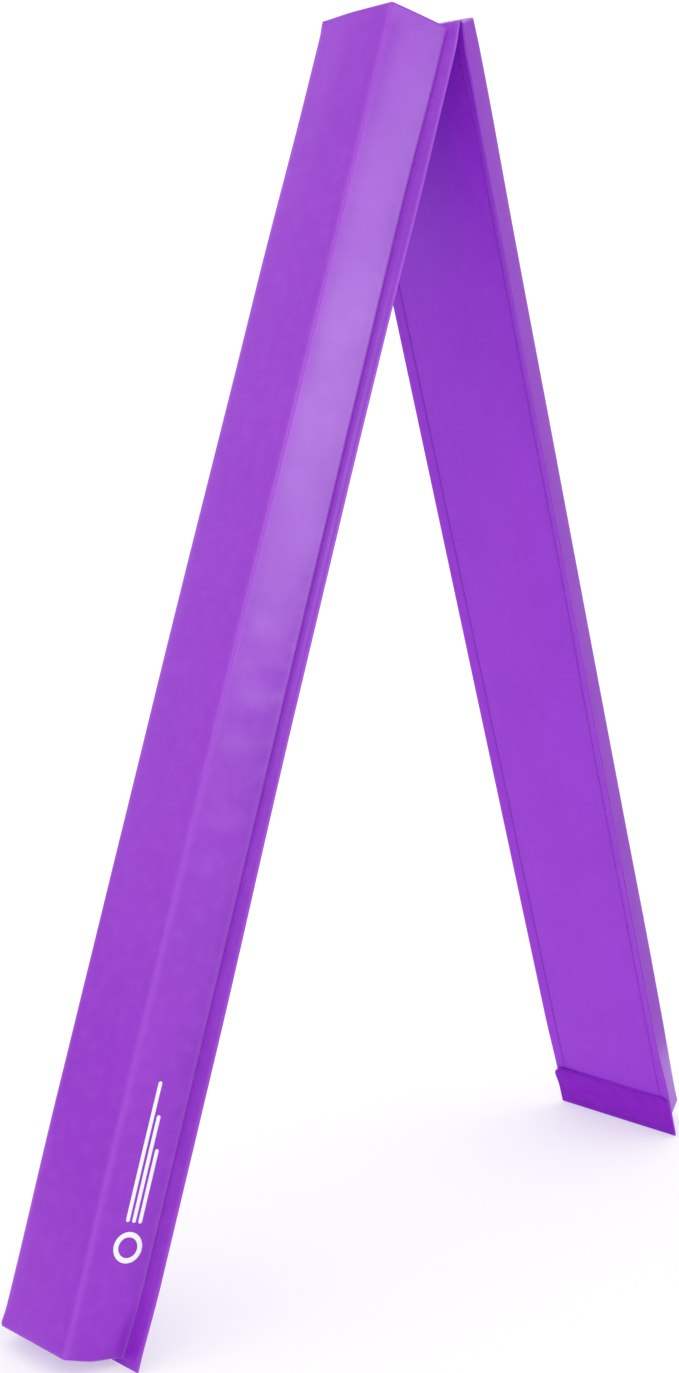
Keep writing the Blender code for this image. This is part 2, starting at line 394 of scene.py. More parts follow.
def hook_fabric(name, colour, dark, light):
    """Woven tape with rows of tiny hooks, and a plain woven border."""
    g = Graph(name)
    uv, along, across = g.metres()
    rows, posts = g.wave(along, HOOK_PITCH[0]), g.wave(across, HOOK_PITCH[1])
    hooks = g.times(g.span(rows, 0.0, 0.9), g.span(posts, -0.2, 0.9))
    inside = g.node("Attribute", attribute_name="tone_mask").outputs["Fac"]
    hooks = g.times(hooks, inside)
    weave = g.times(g.wave(along, WEAVE_PITCH[0]), g.wave(across, WEAVE_PITCH[1]))
    patchy = g.noise(uv, 55.0, 3.0, 0.6)
    tone = g.mix(g.span(patchy, 0.35, 0.7), colour, dark)
    tone = g.mix(g.times(hooks, 0.55), tone, light)
    tone = g.mix(g.span(weave, -1, 1, 0.0, 0.15), tone, dark)
    height = g.math("ADD", hooks, g.times(weave, 0.12))
    return g.finish(Base_Color=tone, Roughness=g.span(patchy, 0.3, 0.7, 0.72, 0.88), IOR=1.4,
                    Specular_IOR_Level=0.25, Normal=g.bump(height, 0.0005, 0.7))


def loop_fabric(name, colour, dark, light):
    """Brushed loops, fuzzy and uneven."""
    g = Graph(name)
    uv = g.metres()[0]
    fuzz = g.noise(uv, 1500.0, 4.0, 0.7)
    tufts = g.cells(uv, 620.0)
    patchy = g.noise(uv, 60.0, 3.0, 0.6)
    tone = g.mix(g.span(fuzz, 0.35, 0.65), dark, colour)
    tone = g.mix(g.times(g.span(patchy, 0.4, 0.7), 0.4), tone, light)
    height = g.math("SUBTRACT", g.times(fuzz, 0.8), g.times(tufts, 0.6))
    return g.finish(Base_Color=tone, Roughness=0.9, IOR=1.4, Specular_IOR_Level=0.2, Sheen_Weight=0.4,
                    Sheen_Roughness=0.45, Normal=g.bump(height, 0.0006, 0.9))


def foam_material(name, colour, dark):
    """Closed-cell foam, with painted shade in its pores."""
    g = Graph(name)
    uv = g.metres()[0]
    pores = g.cells(uv, 700.0)
    # Painted shade: darker in the middle of each pore, where the bump makes a pit.
    tone = g.mix(g.span(pores, 0.1, 0.6), dark, colour)
    return g.finish(Base_Color=tone, Roughness=0.92, Normal=g.bump(pores, 0.0004, 0.6))


def ink(name, colour, thin):
    """Screen-printed ink, a little uneven."""
    g = Graph(name)
    uv = g.metres()[0]
    patchy = g.noise(uv, 350.0, 3.0, 0.6)
    tone = g.mix(g.span(patchy, 0.55, 0.8), colour, thin)
    return g.finish(Base_Color=tone, Roughness=g.span(patchy, 0.3, 0.7, 0.42, 0.56), IOR=1.45,
                    Normal=g.bump(g.cells(uv, 1150.0, "SMOOTH_F1"), 0.00004, 0.3))


# ---- the cover of one half ----

def slope_v(w, inset):
    """Where a sloped side is at height w, with an inset square to it."""
    return (SLOPE_REACH - inset - w * math.sin(SLOPE)) / math.cos(SLOPE)


def between_ends(half, u):
    """1 along a half, and 0 at the fold and where its flanges lie flat at the foot."""
    far, near = FLAT_FOOT[half]
    return smooth(u, 0.0, 0.03) * (1 - smooth(u, HALF_LENGTH - far, HALF_LENGTH - near))


def drift(half, u, v, w):
    """How far the front seam and the edge of its flange wander in towards the middle of the beam."""
    if half == "a":
        seam = 0.0032 * smooth(u, 0.04, 0.20) + 0.0040 * smooth(u, HALF_LENGTH - 0.075, HALF_LENGTH - 0.004)
        edge = 0.0030 * smooth(u, 0.15, 0.35) * (1 - smooth(u, 0.72, 1.05))
        pull = 0.0007 + 0.0012 * smooth(u, 0.30, 0.48) - 0.0005 * smooth(u, 0.85, 1.10)
    else:
        seam = -0.0042 * smooth(u, 0.02, 0.12) * (1 - 0.6 * smooth(u, 0.60, 0.85))
        edge = 0.0012 * smooth(u, 0.04, 0.15) * (1 - smooth(u, 1.20, 1.31))
        pull = 0.0022
    edge = edge + pull * between_ends(half, u)
    seam, edge = np.where(v < 0, seam, 0.0), np.where(v < 0, edge, 0.0)
    share = np.clip((np.abs(v) - STITCH_ROW) / STITCH_INSET, 0, 1)
    low = 1 - np.clip((w - FLANGE_TOP) / (BEAM_HEIGHT - FLANGE_TOP), 0, 1)
    return seam * low * smooth(np.abs(v), 0.020, 0.050) + (edge - seam) * share


def curled(half, u, v, w):
    """(v, w) after the flanges of one half have wandered, and curled back over its base side."""
    front, back = CURL[half]
    angle = np.radians(np.where(v < 0, front, back)) * between_ends(half, u)
    away = np.maximum(np.abs(v) - CURL_FROM, 0)
    run = np.where(away < CURL_START, away ** 2 / (2 * CURL_START), away - CURL_START / 2)
    here = angle * np.minimum(away / CURL_START, 1)
    across = np.abs(v) - run * (1 - np.cos(angle)) + w * np.sin(here)
    return np.sign(v) * (across - drift(half, u, v, w)), w * np.cos(here) - run * np.sin(angle)


def bowed(half, u, v):
    """How far the walking surface stands out beyond its plain height."""
    if half == "a":
        low = 0.0030 * (1 - smooth(u, 0.08, 0.30)) * smooth(v, 0.0, TOP_WIDTH / 2)
        return 0.0019 * smooth(u, 0.30, 0.65) * (1 - smooth(u, 1.15, 1.34)) - low
    extra = 0.0014 * hump(u, 0.08, 0.10) + 0.0010 * hump(u, 1.12, 0.12)
    return (0.0014 * smooth(u, 0.0, 0.03) + extra) * (1 - smooth(u, 1.24, 1.35))


def fold_lean(half, v, w):
    """How far the fold end of a half leans away from the fold, at (v, w) of that end."""
    back = 0.0030 * (1 + 2 * v / TOP_WIDTH) if half == "a" else -0.0016
    return back * (np.clip(w, 0, None) / BEAM_HEIGHT) ** 1.5


def foot_tuck(v, w):
    """How far the foot end is drawn up beside its two flanges."""
    beside = smooth(np.abs(v), 0.048, 0.068) * (1 - smooth(np.abs(v), STITCH_ROW, STITCH_ROW + 0.008))
    return FOOT_TUCK * beside * (1 - smooth(w, 0.008, 0.040))


def half_section(crease):
    """(v, w) and normals of the cover's section, from the middle of the top to the flange's edge."""
    v, w, n = [], [], []
    middle = (slope_v(BEAM_HEIGHT - crease, crease), BEAM_HEIGHT - crease)
    for i in range(TOP_STEPS):
        v.append(middle[0] * math.sin(math.pi / 2 * i / TOP_STEPS))
        w.append(BEAM_HEIGHT)
        n.append((0.0, 1.0))
    for i in range(CREASE_STEPS + 1):
        angle = math.pi / 2 + (SLOPE - math.pi / 2) * i / CREASE_STEPS
        n.append((math.cos(angle), math.sin(angle)))
        v.append(middle[0] + crease * n[-1][0])
        w.append(middle[1] + crease * n[-1][1])
    hollow = (slope_v(FLANGE_TOP + FILLET, -FILLET), FLANGE_TOP + FILLET)
    start = (v[-1], w[-1])
    stop = (hollow[0] - FILLET * math.cos(SLOPE), hollow[1] - FILLET * math.sin(SLOPE))
    for i in range(1, SLOPE_STEPS):
        t = i / SLOPE_STEPS
        v.append(start[0] + (stop[0] - start[0]) * t)
        w.append(start[1] + (stop[1] - start[1]) * t)
        n.append((math.cos(SLOPE), math.sin(SLOPE)))
    for i in range(FILLET_STEPS + 1):
        angle = SLOPE + (math.pi / 2 - SLOPE) * i / FILLET_STEPS
        n.append((math.cos(angle), math.sin(angle)))
        v.append(hollow[0] - FILLET * n[-1][0])
        w.append(hollow[1] - FILLET * n[-1][1])
    for i in range(1, FLANGE_STEPS + 1):
        v.append(v[-1] + (EDGE - v[-1]) / (FLANGE_STEPS + 1 - i))
        w.append(FLANGE_TOP)
        n.append((0.0, 1.0))
    return np.array(v), np.array(w), np.array(n)


def rounding(distance, radius):
    """How far a rounded edge has dropped, at a distance from its end."""
    return radius - math.sqrt(max(radius ** 2 - max(radius - distance, 0) ** 2, 0))


def section_lengths(v, w):
    """Distances along a section, from its first point to each."""
    return np.concatenate([[0], np.cumsum(np.hypot(np.diff(v), np.diff(w)))])


def seam_distance():
    """Distance along the cover from the middle of the top to the needle stitches."""
    v, w, _ = half_section(CREASE)
    return float(section_lengths(v, w)[SEAM_POINT])


def dents(half, uu, ss, on_slope):
    """Shallow slanting dents where a sloped side has been squeezed: A's front one and B's back one."""
    squeezed = smooth(-ss, 0, 0.02) if half == "a" else smooth(ss, 0, 0.02)
    where = smooth(uu, 0.60, 0.70) * (1 - smooth(uu, 0.86, 0.98))
    wave = np.sin(math.tau * (uu + 0.35 * ss) / 0.062) + 0.5 * np.sin(math.tau * (uu - 0.2 * ss) / 0.041)
    return 0.00022 * wave * where * on_slope * squeezed


class Cover:
    """The outer surface of one half's top cover, as a grid of points (u, v, w) over (u, s).

    s runs across the cover along its surface, from 0 in the middle of the top.
    """

    def __init__(self, half):
        seed = 3.7 if half == "a" else 11.3
        v, w, n = half_section(CREASE)
        s = section_lengths(v, w)
        first_slope = TOP_STEPS + CREASE_STEPS
        self.seam = s[SEAM_POINT]
        self.slope = (s[first_slope], s[first_slope + SLOPE_STEPS])
        self.edge = s[-1]
        bends = [FOOT_ROUND * (1 - math.sin(math.radians(a))) for a in (82, 60, 40, 20, 0)]
        start, stop = FOLD_SETBACK + SKIN, HALF_LENGTH - SKIN
        u = spread(start, stop, 0.004, bends + [0.0045, 0.008])
        self.u = u
        self.s = mirrored(s, -1)
        t = np.clip((s - self.slope[0]) / (self.slope[1] - self.slope[0]), 0, 1)
        on_top = 1 - smooth(s, s[TOP_STEPS] - 0.004, s[TOP_STEPS])
        rise = CROWN * on_top * (1 - (s / s[TOP_STEPS]) ** 2) + BULGE * np.sin(math.pi * t)
        rise -= SEAM_DIP * hump(s, self.seam, SEAM_DIP_REACH)
        rise += 0.00020 * hump(s, self.seam + 0.0062, 0.0032) + 0.00018 * hump(s, self.edge - 0.0016, 0.0016)
        past = s - (s[TOP_STEPS] + self.slope[0]) / 2
        rise -= CREASE_SAG[half] / (1 + (past / np.where(past < 0, *SAG_REACH)) ** 2)
        hold = 1 - smooth(s, self.slope[1] - 0.004, self.seam)
        grid = np.zeros((len(u), len(self.s), 3))
        uu, ss = np.meshgrid(u, self.s, indexing="ij")
        rise, hold, t = mirrored(rise), mirrored(hold), mirrored(t)
        swell = 0.00035 * ripple(uu, ss, 0.16, 0.06, seed) + 0.00012 * ripple(uu, ss, 0.06, 0.05, seed + 5)
        on_slope = np.sin(math.pi * t) ** 0.7
        low_down = hump(np.abs(ss), self.slope[1] - 0.003, 0.007)
        pucker = 0.00022 * ripple(uu, ss, 0.011, 0.02, seed + 9) * low_down
        flutter = 0.00018 * ripple(uu, ss * 0, 0.06, 1, seed + 2) * smooth(np.abs(ss), self.seam, self.edge)
        lift = rise + swell * (0.35 + 0.65 * on_slope) * hold + pucker + flutter
        lift += dents(half, uu, ss, on_slope)
        for i, at in enumerate(u):
            near_end = min(at - start, stop - at)
            bend = rounding(at - start, FOLD_ROUND) + rounding(stop - at, FOOT_ROUND)
            crease = END_CREASE + (CREASE - END_CREASE) * float(smooth(at - start, 0.0, 0.06))
            v, w, n = half_section(crease)
            v, nv = mirrored(v, -1), mirrored(n[:, 0], -1)
            w, nw = mirrored(w), mirrored(n[:, 1])
            fade = smooth(near_end, 0.0, 0.02)
            off = lift[i] * fade - bend * hold
            v, w = v + nv * off, (w + nw * off) * (1 + bowed(half, at, v) / BEAM_HEIGHT)
            shift = fold_lean(half, v, w) * math.exp(-(at - start) / 0.03)
            shift = shift - foot_tuck(v, w) * math.exp(-(stop - at) / 0.012)
            on_flange = smooth(np.abs(v), STITCH_ROW, STITCH_ROW + 0.004)
            shift = shift - FLANGE_REACH * on_flange * math.exp(-(at - start) / 0.01)
            v, w = curled(half, at, v, w)
            grid[i] = np.stack([at + shift, v, w], -1)
        self.grid = grid
        faces = quads(*grid.shape[:2])
        self.normal = vertex_normals(grid.reshape(-1, 3), faces).reshape(grid.shape)

    def at(self, u, s):
        """Points and normals (u, v, w) of the surface at any u and s."""
        i = np.clip(np.searchsorted(self.u, u) - 1, 0, len(self.u) - 2)
        j = np.clip(np.searchsorted(self.s, s) - 1, 0, len(self.s) - 2)
        a = ((u - self.u[i]) / (self.u[i + 1] - self.u[i]))[..., None]
        b = ((s - self.s[j]) / (self.s[j + 1] - self.s[j]))[..., None]
        found = []
        for grid in (self.grid, self.normal):
            found.append((grid[i, j] * (1 - a) + grid[i + 1, j] * a) * (1 - b)
                         + (grid[i, j + 1] * (1 - a) + grid[i + 1, j + 1] * a) * b)
        return found[0], unit(found[1])

    def make(self, half):
        """The cover itself, with a painted highlight along its edges and its creases and painted light in
        the hollow at the foot of its slopes.
        """
        uu, ss = np.meshgrid(self.u, self.s, indexing="ij")
        # Painted highlight: the tone mask lightens a line along each flange edge and each crease, and lifts
        # the dark hollow at the foot of each slope, in place of light catching them.
        tone_mask = smooth(np.abs(ss), self.edge - 0.0050, self.edge - 0.0008)
        tone_mask = np.maximum(tone_mask, hump(np.abs(ss), self.slope[0] - 0.0024, 0.0040))
        tone_mask = np.maximum(tone_mask, hump(np.abs(ss), (self.slope[1] + self.seam) / 2, 0.0030) * 0.8)
        return shell(f"cover_{half}", stand(SIDE[half], self.grid), np.stack([uu, ss], -1), SHEET,
                     flip=SIDE[half] < 0, tone_mask=tone_mask)


# ---- other pieces of one half ----

def end_panel(name, half, at, way):
    """A stuffed vinyl panel that closes one end: the foot's if way is 1, the fold's if way is -1."""
    crease, inset = (END_CREASE, FOLD_ROUND * 0.72) if way < 0 else (CREASE, FOOT_ROUND * 0.72)
    w = list(np.linspace(SKIN + 0.0004, BEAM_HEIGHT - crease, 14))
    half_width = [slope_v(x, inset) for x in w]
    middle = slope_v(BEAM_HEIGHT - crease, crease)
    for i in range(1, 8):
        angle = SLOPE + (math.pi / 2 - SLOPE) * i / 7
        w.append(BEAM_HEIGHT - crease + (crease - inset) * math.sin(angle))
        half_width.append(middle + (crease - inset) * math.cos(angle))
    w, half_width = np.array(w), np.array(half_width)
    order = np.argsort(w)
    w, half_width = w[order], half_width[order]
    t = np.sin(np.linspace(-math.pi / 2, math.pi / 2, 41))
    ww, tt = np.meshgrid(w, t, indexing="ij")
    vv = tt * half_width[:, None]
    end = 0.0 if way < 0 else HALF_LENGTH
    deep = np.minimum((half_width[:, None] - np.abs(vv)) * math.cos(SLOPE), w.max() - ww)
    deep = np.minimum(deep, ww - w.min() + 0.0004)
    puff = 0.0011 * (1 - np.exp(-deep / 0.0016)) + 0.0009 * smooth(deep, 0, 0.025)
    beside_seam = smooth(deep, 0, 0.01) * (1 - smooth(deep, 0.01, 0.02))
    puff += 0.00015 * ripple(vv, ww, 0.012, 0.012, at) * beside_seam
    leaning = fold_lean(half, vv, ww) if way < 0 else -foot_tuck(vv, ww)
    uu = at - way * 0.0009 + way * (puff - 0.001) + leaning
    outline = curled(half, end, vv, ww * (1 + bowed(half, end, vv) / BEAM_HEIGHT))
    grid = stand(SIDE[half], np.stack([uu, *outline], -1))
    edge = 1 - smooth(deep, 0.0, 0.003)
    return shell(name, grid, np.stack([vv, ww], -1), SHEET, flip=(SIDE[half] * way < 0), tone_mask=edge)


def foam_block(half, cover):
    """The foam inside a cover: the cover's own surface, one skin further in, closed underneath."""
    pick_u = np.arange(2, len(cover.u) - 2, 3)
    body = np.flatnonzero(np.abs(cover.s) <= cover.slope[1])
    inset = SKIN + FOAM_GAP
    grid = cover.grid[np.ix_(pick_u, body)] - cover.normal[np.ix_(pick_u, body)] * inset
    along = np.clip(grid[..., 0], 0.0065, HALF_LENGTH - 0.0035)
    grid = np.stack([along, grid[..., 1], np.maximum(grid[..., 2], inset)], -1)
    rows, columns = grid.shape[:2]
    under = grid[:, ::-1].copy()
    under[..., 2] = inset
    ring = np.concatenate([grid, under[:, 1:-1]], 1)
    ring[:, 0, 2] = ring[:, columns - 1, 2] = inset
    total = ring.shape[1]
    faces = quads(rows, total, loop=True)

    def below(column):
        return total - column if 0 < column < columns - 1 else column

    ends = []
    for row, turn in ((0, 1), (rows - 1, -1)):
        base = row * total
        for k in range(columns - 1):
            quad = [base + k, base + k + 1, base + below(k + 1), base + below(k)]
            quad = [q for n, q in enumerate(quad) if q not in quad[:n]]
            ends.append(quad if turn > 0 else quad[::-1])
    every = [tuple(f) for f in faces] + [tuple(e) for e in ends if len(e) > 2]
    if SIDE[half] < 0:
        every = [f[::-1] for f in every]
    flat = stand(SIDE[half], ring)
    return make_mesh(f"foam_block_{half}", flat.reshape(-1, 3), every, ring[..., :2].reshape(-1, 2))


def base_sheet():
    """One strip of vinyl under both halves, bent over the fold."""
    near_fold = [0.0, 0.0015, 0.003, 0.0045, 0.007]
    near_foot = [HALF_LENGTH - short for short in (0.006, 0.003, BEND_SETBACK)]
    straight = np.concatenate([near_fold, np.arange(0.012, HALF_LENGTH - 0.012, 0.008), near_foot])
    foot_a = np.append(straight[:-1], HALF_LENGTH - 0.0005)
    turn = np.linspace(math.pi - HALF_ANGLE, HALF_ANGLE, 13)[1:-1]
    near_seam = [0.0690, 0.0720, 0.0735, 0.0742, STITCH_ROW, 0.0756, 0.0763, 0.0778]
    near_edge = [0.0805, 0.0835, 0.0860, 0.0874, BASE_EDGE]
    v = mirrored(np.concatenate([np.linspace(0, 0.064, 9), near_seam, near_edge]), -1)
    rows, path = [], []
    for side, stations in ((-1, foot_a[::-1]), (1, straight)):
        uu, vv = np.meshgrid(stations, v, indexing="ij")
        calm = smooth(uu, 0.004, 0.03) * (1 - smooth(uu, HALF_LENGTH - 0.075, HALF_LENGTH - 0.058))
        wave = 0.00022 * ripple(side * uu, vv, 0.13, 0.07, 21.0) * (1 - smooth(np.abs(vv), 0.066, 0.073))
        seam = 0.00016 * hump(np.abs(vv), STITCH_ROW, 0.0013)
        belly = -0.0004 * (1 - (np.clip(np.abs(vv), 0, 0.072) / 0.072) ** 2)
        w = (wave + belly) * calm + seam * smooth(uu, 0.004, 0.01)
        rows.append(stand(side, np.stack([uu, *curled("a" if side < 0 else "b", uu, vv, w)], -1)))
        path.append(side * (uu + FOLD_RADIUS * (math.pi / 2 - HALF_ANGLE)))
    vv = np.broadcast_to(v, (len(turn), len(v)))
    bend = np.stack([FOLD_RADIUS * np.cos(turn)[:, None] + 0 * vv, vv,
                     AXIS_HEIGHT + FOLD_RADIUS * np.sin(turn)[:, None] + 0 * vv], -1)
    around = (math.pi / 2 - turn)[:, None] * FOLD_RADIUS + 0 * vv
    grid = np.concatenate([rows[0], bend, rows[1]])
    along = np.concatenate([path[0], around, path[1]])
    across = np.broadcast_to(v, along.shape)
    tone_mask = smooth(np.abs(across), 0.086, BASE_EDGE)
    return shell("base_sheet", grid, np.stack([along, across], -1), SHEET, flip=True,
                 square=("u1",), tone_mask=tone_mask)


# ---- stitches ----

def stitches(name, points, normals):
    """A row of separate stitches, from the points and normals of its needle holes on the face that shows."""
    rings, sides = 7, 6
    tilt = 0.00012
    start, stop = points[:-1], points[1:]
    n = unit(normals[:-1] + normals[1:])
    way = stop - start
    long = np.linalg.norm(way, axis=-1, keepdims=True)
    way = way / long
    side = unit(np.cross(way, n))
    t = np.linspace(0.045, 0.955, rings)
    height = THREAD * (-0.75 + 1.55 * np.sin(math.pi * (t - t[0]) / (t[-1] - t[0])) ** 0.55)
    fat = THREAD * (0.72 + 0.28 * np.sin(math.pi * (t - t[0]) / (t[-1] - t[0])))
    angle = np.arange(sides) * math.tau / sides
    centre = (start[:, None] + way[:, None] * (t[:, None] * long[:, None]) + n[:, None] * height[:, None]
              + side[:, None] * (tilt * (2 * t - 1))[:, None])
    around = (np.cos(angle)[:, None] * side[:, None, None] * 1.15
              + np.sin(angle)[:, None] * n[:, None, None] * 0.85)
    ring = centre[:, :, None] + around * fat[None, :, None, None]
    count = len(start)
    body = quads(rings, sides, loop=True)
    caps = [tuple(range(sides)), tuple(range((rings - 1) * sides, rings * sides))[::-1]]
    faces = []
    for k in range(count):
        shift = k * rings * sides
        faces += [tuple(f + shift) for f in body] + [tuple(c + shift for c in cap) for cap in caps]
    run = (np.arange(count)[:, None, None] * PITCH + (t * PITCH)[None, :, None]) + 0 * angle
    across = np.broadcast_to(angle / math.tau, run.shape)
    return make_mesh(name, ring.reshape(-1, 3), faces, np.stack([run, across], -1).reshape(-1, 2))


def needle_holes(start, stop):
    """Distances from the fold of a row's needle holes, at whole stitch lengths."""
    return np.arange(math.ceil(start / PITCH), math.floor(stop / PITCH) + 1) * PITCH


def border(root, tip, half_width, radius):
    """Evenly spaced needle holes round a tape's border: (u, v), closed."""
    way = math.copysign(1, tip - root)
    turn = [math.pi / 2 * k / 8 for k in range(9)]
    centre = (tip - way * radius, half_width - radius)
    corner = [(centre[0] + way * radius * math.sin(a), centre[1] + radius * math.cos(a)) for a in turn]
    outline = [(root, half_width)] + corner
    outline = np.array(outline + [(x, -y) for x, y in outline[::-1]] + [(root, half_width)])
    length = np.concatenate([[0], np.cumsum(np.linalg.norm(np.diff(outline, axis=0), axis=1))])
    count = round(length[-1] / TAPE_PITCH)
    at = np.linspace(0, length[-1], count + 1)
    return np.stack([np.interp(at, length, outline[:, k]) for k in (0, 1)], -1)


def downwards(side, p):
    """Directions out of the base side of one half, at points (u, v, w)."""
    return unit(stand(side, p - np.array([0, 0, 0.001])) - stand(side, p))


# ---- tapes and the flap ----

def tab(root, tip, half_width, radius, rows=16, columns=57):
    """A grid over a strip that is square at its root and has rounded corners at its tip: (u, v)."""
    way = math.copysign(1, tip - root)
    straight = np.linspace(root, tip - way * radius, rows)
    turn = [math.radians(a) for a in (11, 22, 34, 46, 58, 70, 80, 90)]
    u = np.concatenate([straight, [tip - way * radius * (1 - math.sin(a)) for a in turn]])
    w = np.concatenate([np.full(rows, half_width), [half_width - radius * (1 - math.cos(a)) for a in turn]])
    t = np.sin(np.linspace(-math.pi / 2, math.pi / 2, columns)) * 0.35 + np.linspace(-1, 1, columns) * 0.65
    uu, tt = np.meshgrid(u, t, indexing="ij")
    return uu, tt * w[:, None]


def curl(u, v):
    """How the folded flap's free edge lifts off the base sheet: (out of the sheet, outwards along v)."""
    from_foot = HALF_LENGTH - u
    free = smooth(from_foot, 0.020, 0.056)
    corner = smooth(v, 0.035, 0.090) * free
    other = smooth(-v, 0.06, 0.090) * free
    wave = 0.0003 * np.sin(v / 0.021) * free
    return 0.0030 * corner ** 1.5 + 0.0003 * other + 0.0003 * free + wave, 0.0016 * corner


def flap_surface(u, v, face):
    """Points of the folded flap, face metres out of the base sheet."""
    out, aside = curl(u, v)
    return np.stack([u, v + aside, -(face + out)], -1)


def build_flap(materials):
    root, tip = HALF_LENGTH - BEND_SETBACK, HALF_LENGTH - FLAP_INSET - FLAP_LENGTH
    face = GAP / 2 + SHEET
    uu, vv = tab(root, tip, FLAP_WIDTH / 2, FLAP_CORNER)
    edge = smooth(np.abs(vv), FLAP_WIDTH / 2 - 0.003, FLAP_WIDTH / 2)
    backing = shell("flap_backing", stand(1, flap_surface(uu, vv, face)), np.stack([uu, vv], -1), SHEET,
                    square=("u0",), tone_mask=edge)
    t_root, t_tip = HALF_LENGTH - FLAP_INSET - TAPE_MARGIN, tip + TAPE_MARGIN
    half_width = FLAP_WIDTH / 2 - TAPE_MARGIN
    tape_face = face + GAP + TAPE
    uu, vv = tab(t_root, t_tip, half_width, FLAP_CORNER - TAPE_MARGIN, 22, 81)
    inside = np.minimum(np.minimum(half_width - np.abs(vv), uu - t_tip), t_root - uu)
    pile = smooth(inside, 0.0045, 0.0060)
    raised = tape_face - PILE * (1 - pile) - 0.0003 * hump(inside, TAPE_SEAM_INSET, 0.0012)
    tape = shell("hook_tape", stand(1, flap_surface(uu, vv, raised)), np.stack([uu, vv], -1), TAPE - PILE,
                 tone_mask=pile)
    path = border(t_root - TAPE_SEAM_INSET, t_tip + TAPE_SEAM_INSET, half_width - TAPE_SEAM_INSET,
                  FLAP_CORNER - TAPE_SEAM_INSET)
    on = stand(1, flap_surface(path[:, 0], path[:, 1], tape_face - 0.0007))
    out = stand(1, flap_surface(path[:, 0], path[:, 1], tape_face + 0.0007))
    seam = stitches("hook_tape_stitches", on, unit(out - on))
    for piece, node, material, slot in ((backing, "flap_backing_b", "flap", "base_vinyl"),
                                        (tape, "hook_tape_b", "hook", "hook_tape"),
                                        (seam, "hook_tape_thread_b", "thread", "thread")):
        dress(piece, "flap", materials[material], slot, node)

    radius = (SHEET + GAP / 2 + SHEET) / 2
    centre_w = SHEET - radius
    angles = np.linspace(math.pi / 2, -math.pi / 2, 9)
    v = np.linspace(-FLAP_WIDTH / 2 + 0.0004, FLAP_WIDTH / 2 - 0.0004, 41)
    aa, vv = np.meshgrid(angles, v, indexing="ij")
    vv = vv * (1 - 0.010 * smooth(aa, 0, math.pi / 2))
    grid = np.stack([root + radius * np.cos(aa), vv, centre_w + radius * np.sin(aa)], -1)
    uv = np.stack([HALF_LENGTH + radius * (math.pi / 2 - aa), vv], -1)
    bend = shell("flap_bend", stand(1, grid), uv, SHEET, square=("u0", "u1"), tone_mask=0.6 + 0 * vv)
    bend.data.materials.append(materials["flap"])
    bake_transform(bend)


def build_loop_tape(materials):
    root, tip = HALF_LENGTH - LOOP_INSET, HALF_LENGTH - LOOP_INSET - LOOP_LENGTH
    uu, vv = tab(root, tip, LOOP_WIDTH / 2, FLAP_CORNER, 22, 81)
    inside = np.minimum(np.minimum(LOOP_WIDTH / 2 - np.abs(vv), uu - tip), root - uu)
    soft = 0.0002 * ripple(uu, vv, 0.012, 0.012, 31.0)
    sewn_down = 0.0004 * hump(inside, TAPE_SEAM_INSET, 0.0014)
    face = GAP + TAPE - sewn_down - 0.0005 * (1 - smooth(inside, 0, 0.0015)) + soft
    grid = stand(-1, np.stack([uu, *curled("a", uu, vv, -face)], -1))
    tape = shell("loop_tape", grid, np.stack([uu, vv], -1), TAPE - PILE, flip=True)
    path = border(root - TAPE_SEAM_INSET, tip + TAPE_SEAM_INSET, LOOP_WIDTH / 2 - TAPE_SEAM_INSET,
                  FLAP_CORNER - TAPE_SEAM_INSET)
    u, v = path[:, 0], path[:, 1]
    on = np.stack([u, *curled("a", u, v, np.full(len(path), -(GAP + TAPE - 0.0003)))], -1)
    seam = stitches("loop_tape_stitches", stand(-1, on), downwards(-1, on))
    dress(tape, "half_a", materials["loop"], "loop_tape", "loop_tape_a")
    dress(seam, "half_a", materials["thread"], "thread", "loop_tape_thread_a")


# ---- the print ----

def print_mark(cover, materials):
    """A plain ring and three bars, printed on the front side of half A near its foot."""
    centre_s, lowest = -(cover.slope[0] + 0.036), HALF_LENGTH - 0.112
    parts = [ring_shape(lowest, 0.0, 0.0150, 0.0100)]
    for low, high, off in ((0.024, 0.160, 0.0066), (0.024, 0.128, 0.0), (0.024, 0.096, -0.0066)):
        parts.append(bar_shape(lowest - high, lowest - low, off, 0.0019))
    for k, (u, s) in enumerate(parts):
        p, n = cover.at(u, centre_s + s)
        grid = stand(-1, p + n * INK_FACE)
        printed = shell(f"print_part_{k}", grid, np.stack([u, s], -1), INK, flip=True, steps=1)
        dress(printed, "half_a", materials["ink"], "print")


def ring_shape(u, s, outer, inner):
    """Points (u, s) of a flat ring round one centre."""
    angle = np.linspace(0, math.tau, 73)
    radius = np.linspace(inner, outer, 5)
    aa, rr = np.meshgrid(angle, radius, indexing="ij")
    return u + rr * np.sin(aa), s - rr * np.cos(aa)


def bar_shape(start, stop, s, half_width):
    """Points (u, s) of a flat bar with round ends."""
    ends = [half_width * (1 - math.sin(math.radians(a))) for a in (90, 75, 55, 35, 15)]
    u = np.concatenate([[start + e for e in ends], np.arange(start + half_width, stop - half_width, 0.003),
                        [stop - e for e in ends[::-1]]])
    d = np.clip(half_width - np.minimum(u - start, stop - u), 0, half_width)
    w = np.maximum(np.sqrt(np.maximum(half_width ** 2 - d ** 2, 0)), half_width * 0.12)
    uu, tt = np.meshgrid(u, np.linspace(-1, 1, 5), indexing="ij")
    return uu, s + tt * w[:, None]


# ---- putting it together ----

def dress(piece, body, material, slot, *nodes):
    """Gives a piece its material, its body and the nodes that it stands for; slot is not used."""
    piece.data.materials.append(material)
    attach(piece, body)
    if nodes:
        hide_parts(*nodes)


